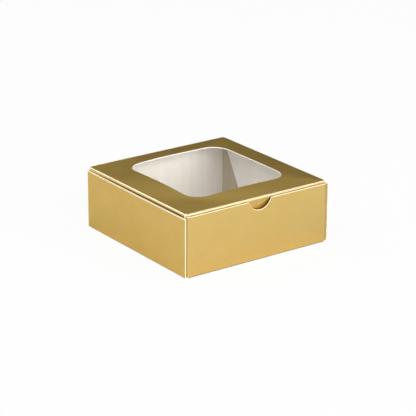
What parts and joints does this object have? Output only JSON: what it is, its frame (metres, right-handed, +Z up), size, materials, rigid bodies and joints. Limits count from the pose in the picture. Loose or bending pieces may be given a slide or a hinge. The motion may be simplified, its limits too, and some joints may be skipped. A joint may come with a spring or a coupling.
{
  "type": "favor box",
  "caption": "Square folding carton with a hinged windowed lid, a tuck flap behind a thumb-notched front wall and two side flaps.",
  "frame": {"origin": "centre of the footprint on the surface the box stands on", "axes": "+Z up, -Y towards the front wall with the thumb notch, +X to the right seen from the front"},
  "size_m": [0.1016, 0.1016, 0.0381],
  "materials": {
    "foil_board": "gold foil laminate outside, uncoated white board inside",
    "clear_film": "clear gloss film",
    "glue": "dried white glue"
  },
  "bodies": {
    "tray": {"bottom_panel": "foil_board", "front_wall": "foil_board", "back_wall": "foil_board", "left_wall": "foil_board", "right_wall": "foil_board", "front_left_tab": "foil_board", "front_right_tab": "foil_board", "back_left_tab": "foil_board", "back_right_tab": "foil_board", "corner_glue": "glue"},
    "lid": {"lid_panel": "foil_board", "window_film": "clear_film", "film_glue": "glue"},
    "tuck": {"tuck_flap": "foil_board"},
    "left_flap": {"left_side_flap": "foil_board"},
    "right_flap": {"right_side_flap": "foil_board"}
  },
  "joints": [
    {"name": "lid_crease", "type": "hinge", "parent": "tray", "child": "lid", "pos_m": [0, 0.0501, 0.0374], "axis": [-1, 0, 0], "range_deg": [0, 110]},
    {"name": "tuck_crease", "type": "hinge", "parent": "lid", "child": "tuck", "pos_m": [0, -0.0486, 0.0369], "axis": [1, 0, 0], "range_deg": [0, 60]},
    {"name": "left_flap_crease", "type": "hinge", "parent": "lid", "child": "left_flap", "pos_m": [-0.0492, 0, 0.0369], "axis": [0, -1, 0], "range_deg": [0, 67]},
    {"name": "right_flap_crease", "type": "hinge", "parent": "lid", "child": "right_flap", "pos_m": [0.0492, 0, 0.0369], "axis": [0, 1, 0], "range_deg": [0, 67]}
  ]
}
